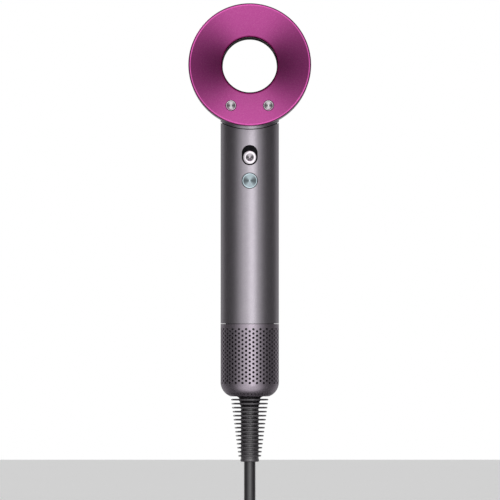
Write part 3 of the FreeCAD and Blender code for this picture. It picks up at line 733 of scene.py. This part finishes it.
def power_knob():
    """The sliding switch's knob: a deep little dish in a flat ring, on a back that follows the handle."""
    node = "power_slider"
    low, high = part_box(node)
    knob_r = (high[0] - low[0]) / 2 / MM
    rounding, back = 0.55, 3.2
    outline = cup(30.0, 2.5) + [(2.75, -0.02), (knob_r - rounding, 0.0)]
    outline += [(knob_r - rounding * 0.3, rounding * 0.3), (knob_r, rounding), (knob_r, back), (0.0, back)]
    knob = turned_piece("power_knob", outline, centre_of(node, low[1]), Y)
    let_go()
    handle_r, place = 0.0166, (0, 0, POWER_KNOB_Z)
    bpy.ops.mesh.primitive_cylinder_add(vertices=192, radius=handle_r, depth=0.02, location=place)
    cut_away(knob, bpy.context.object)
    round_edges(knob, 0.08 * MM, 2, 40)
    return finished(knob, "power_slider", "spun_metal", OWN_FINISHES[node], node)


def cold_shot_cap():
    """The cold-shot button: a shallow dish with a thin raised edge, its keeping flange and its stem."""
    node = "cold_shot_button"
    low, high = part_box(node)
    length = (high[1] - low[1]) / MM
    cap_r, flange_r, stem_r, flange_front, flange_back = 4.8, 5.6, 1.6, 3.3, 4.3
    outline = cup(26.0, 4.25, 12) + [(4.5, 0.0), (4.7, 0.1), (cap_r, 0.3), (cap_r, flange_front)]
    outline += [(flange_r, flange_front), (flange_r, flange_back), (stem_r, flange_back)]
    outline += [(stem_r, length), (0.0, length)]
    cap = turned_piece("cold_shot_cap", outline, centre_of(node, low[1]), Y)
    round_edges(cap, 0.05 * MM, 2)
    return finished(cap, node, "spun_metal", OWN_FINISHES[node], node)


def return_spring():
    """The cold-shot button's round-wire spring, wound at the length of its CAD part; here it does not
    shorten as the button goes in.
    """
    low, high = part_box("cold_shot_spring")
    wire, turns, steps = 0.00055, 3.6, 110
    coil_r, length = (high[0] - low[0] - wire) / 2, high[1] - low[1] - wire
    let_go()
    bpy.ops.mesh.primitive_circle_add(
        radius=wire / 2, vertices=12, fill_type="NGON", location=(coil_r, 0, 0), rotation=(math.pi / 2, 0, 0)
    )
    spring = bpy.context.object
    spring.name = spring.data.name = "return_spring"
    bpy.ops.object.transform_apply(location=True, rotation=True, scale=False)
    apply(spring, "SCREW", angle=turns * 2 * math.pi, screw_offset=length, steps=steps, render_steps=steps)
    bpy.ops.object.mode_set(mode="EDIT")
    recalculate_normals()
    bpy.ops.transform.rotate(value=math.pi / 2, orient_axis="X", center_override=(0, 0, 0))
    bpy.ops.object.mode_set(mode="OBJECT")
    middle = (low + high) / 2
    found = [sum(v.co[i] for v in spring.data.vertices) / len(spring.data.vertices) for i in range(3)]
    bpy.ops.object.mode_set(mode="EDIT")
    bpy.ops.transform.translate(value=(0, middle[1] - found[1], middle[2]))
    bpy.ops.object.mode_set(mode="OBJECT")
    finished(spring, "dryer", "steel", FINISHES["steel"], "cold_shot_spring")
    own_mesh(spring)
    return spring


def relief_sleeve():
    """The finned strain relief: round-edged fins that shrink towards the cord, on a waisted core."""
    bore, core, foot, collar, shoulder = 3.65, 5.6, 5.9, 7.0, -208.4
    top, bottom = -199.0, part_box("strain_relief")[0][2] / MM
    fins, first_fin, pitch, half = 15, -210.9, 2.53, 0.52
    outline = [(bore, top), (collar, top), (collar, -201.3), (5.4, -201.3), (5.4, shoulder), (9.1, shoulder)]
    outline += [(8.2, -208.9), (collar, -209.6)]
    for i in range(fins):
        z, radius = first_fin - i * pitch, 11.8 - i * 0.325
        root = max(core, 6.6 - 0.5 * i)
        outline += [(root, z + half + 0.35), (root + 0.35, z + half), (radius - 0.3, z + half - 0.04)]
        outline += [(radius, z + half - 0.3), (radius, z - half + 0.3)]
        outline += [(radius - 0.3, z - half + 0.04), (root + 0.35, z - half), (root, z - half - 0.35)]
    outline += [(core, -248.0), (foot - 0.15, -248.15), (foot, -248.5), (foot, bottom + 0.4)]
    outline += [(foot - 0.4, bottom), (bore, bottom), (bore, top)]
    sleeve = turned_piece("relief_sleeve", outline, (0, 0, 0), Z, 96)
    return finished(sleeve, "dryer", "soft_rubber", FINISHES["soft_rubber"], "strain_relief")


def coil_strap():
    """The strap round the coil: one strip, laid round the turns, whose end lies over its start."""
    low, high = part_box("cord_tie")
    width, thick, inset = high[1] - low[1], 0.0011, 0.0007
    left, right, bottom, top = low[0] + inset, high[0] - inset, low[2] + inset, high[2] - inset
    shoulder = COIL_BASE_Z + (COIL_LAYERS - 1) * CORD_D + inset
    outer = left - 1.15 * thick
    route = [(left, shoulder - 0.003), (left, bottom), (right, bottom), (right, shoulder)]
    route += [(COIL_CENTRE[0] - 0.0297, top), (COIL_CENTRE[0] - 0.0427, top)]
    route += [(left - 0.0002, shoulder + 0.001)]
    route += [(outer, shoulder - 0.0035), (outer, bottom + 0.006)]
    corners = [Vector((x, low[1], z)) for x, z in route]
    strip = begin_at("coil_strap", corners[0])
    bpy.ops.mesh.extrude_region_move(TRANSFORM_OT_translate={"value": Y * width})
    bpy.ops.mesh.select_all(action="SELECT")
    extrude_through(corners)
    bpy.ops.object.mode_set(mode="OBJECT")
    round_edges(strip, 0.0022, 5, 12.0)
    apply(strip, "SOLIDIFY", thickness=thick, offset=0.0)
    round_edges(strip, 0.0003, 2, 50.0)
    return finished(strip, "dryer", "soft_rubber", OWN_FINISHES["cord_tie"], "cord_tie")


def grip_cutters(middle, half_width):
    """Slim blocks that press the grip's grooves into both sides of the plug."""
    grooves, pitch, groove = 6, 0.0026, (0.0026, 0.0011, 0.0088)
    cutters = []
    for side in (-1, 1):
        for i in range(grooves):
            let_go()
            place = middle + X * side * half_width + Y * (i - (grooves - 1) / 2) * pitch
            bpy.ops.mesh.primitive_cube_add(size=1.0, location=place, scale=groove)
            bpy.ops.object.transform_apply(location=True, rotation=False, scale=True)
            cutters.append(bpy.context.object)
    join_to(cutters[0], cutters)
    round_edges(cutters[0], 0.0004, 3)
    return cutters[0]


def moulded_plug():
    """The plug's moulded body: a flat rounded block, drawn in towards the cord, with grooved sides."""
    low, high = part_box("plug_body")
    block_rear, width, depth = low[1] + 0.006, high[0] - low[0], high[2] - low[2]
    middle = centre_of("plug_body", (block_rear + high[1]) / 2)
    let_go()
    size = (width, high[1] - block_rear, depth)
    bpy.ops.mesh.primitive_cube_add(size=1.0, location=middle, scale=size)
    bpy.ops.object.transform_apply(location=True, rotation=False, scale=True)
    plug = bpy.context.object
    plug.name = plug.data.name = "moulded_plug"
    bpy.ops.object.mode_set(mode="EDIT")
    bpy.ops.mesh.select_all(action="SELECT")
    waist = middle - Y * 0.006
    bpy.ops.mesh.bisect(plane_co=waist, plane_no=Y)
    bpy.ops.mesh.select_all(action="DESELECT")
    bpy.ops.object.mode_set(mode="OBJECT")
    for vertex in plug.data.vertices:
        vertex.select = vertex.co.y < block_rear + 0.0001
    bpy.ops.object.mode_set(mode="EDIT")
    bpy.ops.transform.resize(value=(0.56, 1.0, 0.92), center_override=middle)
    bpy.ops.object.mode_set(mode="OBJECT")
    for edge in plug.data.edges:
        run = plug.data.vertices[edge.vertices[0]].co - plug.data.vertices[edge.vertices[1]].co
        edge.select = abs(run.y) > 0.001
    bpy.ops.object.mode_set(mode="EDIT")
    bpy.ops.mesh.select_mode(type="EDGE")
    bpy.ops.mesh.bevel(offset=0.0052, segments=7, affect="EDGES")
    bpy.ops.mesh.select_mode(type="VERT")
    bpy.ops.object.mode_set(mode="OBJECT")
    round_edges(plug, 0.0016, 4, 24.0)
    cut_away(plug, grip_cutters(middle + Y * 0.0045, width / 2))
    shank_outline = [(0.0, 0.0), (6.2, 0.0), (6.6, 0.3), (6.8, 0.9), (6.8, 9.0), (0.0, 9.0)]
    join_to(plug, [turned_piece("shank", shank_outline, centre_of("plug_body", low[1]), Y, 64)])
    return finished(plug, "dryer", "black_polymer", FINISHES["black_polymer"], "plug_body")


def plug_sleeve():
    """The plug's own bend relief: five soft rings that grow towards the plug."""
    rings, pitch = 5, 2.8
    outline = [(0.0, 0.0)]
    for i in range(rings):
        along, radius, root = pitch * i, 4.6 + 0.4 * i, 4.0 + 0.25 * i
        outline += [(radius - 0.3, along), (radius, along + 0.3), (radius + 0.1, along + 1.5)]
        outline += [(radius - 0.2, along + 1.8), (root, along + 2.0), (root + 0.05, along + 2.6)]
    outline += [(6.2, rings * pitch), (0.0, rings * pitch)]
    centre = centre_of("plug_relief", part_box("plug_relief")[0][1])
    sleeve = turned_piece("plug_sleeve", outline, centre, Y, 64)
    return finished(sleeve, "dryer", "soft_rubber", FINISHES["soft_rubber"], "plug_relief")


def model_pieces():
    """Model the pieces that stand for CAD parts, and list those that sit on the cord."""
    head_pin("fan_speed_button")
    head_pin("heat_button")
    power_knob()
    cold_shot_cap()
    return_spring()
    relief_sleeve()
    pieces_on_cord = [moulded_plug(), plug_sleeve(), coil_strap(), nodes["plug_pins"]]


model_pieces()


def finish_everything():
    """Give each CAD node the finish of its slot, or its own."""
    slots = {part["node"]: part["material_slot"] for part in frame["record"]["subparts"]}
    for name, node in nodes.items():
        node.data.materials.clear()
        node.data.materials.append(OWN_FINISHES.get(name) or FINISHES[slots[name]])
    cord.data.materials.append(FINISHES["cord_pvc"])


finish_everything()


# ---------------------------------------------------------------- floor and light


def lay_floor():
    let_go()
    bpy.ops.mesh.primitive_plane_add(size=14.0, location=(0, 0, FLOOR_Z - 0.0002))
    floor = bpy.context.object
    floor.name = "studio_floor"
    f = Finish("pale_floor", Roughness=0.8, Emission_Color=rgb(1, 1, 1), Emission_Strength=0.35)
    tone = f.n.mix(f.n.noise(f.place, 6.0, 4.0), rgb(0.80, 0.80, 0.80), rgb(0.84, 0.84, 0.84))
    f.use(Base_Color=tone)
    floor.data.materials.append(f.material)
    floor.visible_glossy = False


FRONT_LEVEL, SIDE_LEVEL, BACK_LEVEL = 1.12, 0.06, 0.39
DRYER_MIDDLE = Vector((0, 0, -0.1))


def light_surroundings():
    """White to the eye; to the object, a bright front with dim sides, top and foot, and a softer back."""
    world = bpy.data.worlds.new("studio")
    bpy.context.scene.world = world
    world.use_nodes = True
    tree = world.node_tree
    tree.nodes.clear()
    n = Nodes(tree)
    way = n.add("TexCoord").outputs["Generated"]
    parts = n.add("SeparateXYZ")
    n.join(way, parts.inputs[0])
    side = n.math("ABSOLUTE", parts.outputs["X"])
    ahead = n.ramp(parts.outputs["Y"], -0.1, -0.5)
    behind = n.ramp(parts.outputs["Y"], 0.0, 0.35)
    before = n.math("MULTIPLY", ahead, n.ramp(side, 0.99, 0.26))
    level = n.math("MULTIPLY", before, FRONT_LEVEL - SIDE_LEVEL)
    height = n.math("ABSOLUTE", parts.outputs["Z"])
    after = n.math("MULTIPLY", behind, n.ramp(height, 0.75, 0.25))
    after = n.math("MULTIPLY", after, n.ramp(side, 0.99, 0.67))
    level = n.math("ADD", level, n.math("MULTIPLY", after, BACK_LEVEL - SIDE_LEVEL))
    level = n.math("ADD", level, SIDE_LEVEL)
    back = n.add("Background")
    n.set(back.inputs["Color"], rgb(1, 1, 1))
    n.join(level, back.inputs["Strength"])
    seen = n.add("Background")
    n.set(seen.inputs["Color"], rgb(1, 1, 1))
    seen.inputs["Strength"].default_value = 1.0
    mix = n.add("MixShader")
    n.join(n.add("LightPath").outputs["Is Camera Ray"], mix.inputs[0])
    n.join(back.outputs[0], mix.inputs[1])
    n.join(seen.outputs[0], mix.inputs[2])
    out = n.add("OutputWorld")
    n.join(mix.outputs[0], out.inputs[0])


def soft_box(name, place, width, height, watts):
    """A soft rectangular light, aimed at the middle of the dryer and unseen by the camera."""
    data = bpy.data.lights.new(name, "AREA")
    data.shape = "RECTANGLE"
    data.size, data.size_y = width, height
    data.energy = watts
    lamp = bpy.data.objects.new(name, data)
    lamp.location = place
    lamp.rotation_mode = "QUATERNION"
    lamp.rotation_quaternion = (DRYER_MIDDLE - Vector(place)).to_track_quat("-Z", "Y")
    lamp.visible_camera = False
    bpy.context.scene.collection.objects.link(lamp)


lay_floor()
light_surroundings()
soft_box("front_strip", (0.3, -2.0, -0.1), 0.9, 2.4, 6.8)
soft_box("back_fill", (-1.2, 2.4, 1.0), 1.0, 1.0, 8.0)

bpy.context.scene.view_settings.view_transform = "Standard"
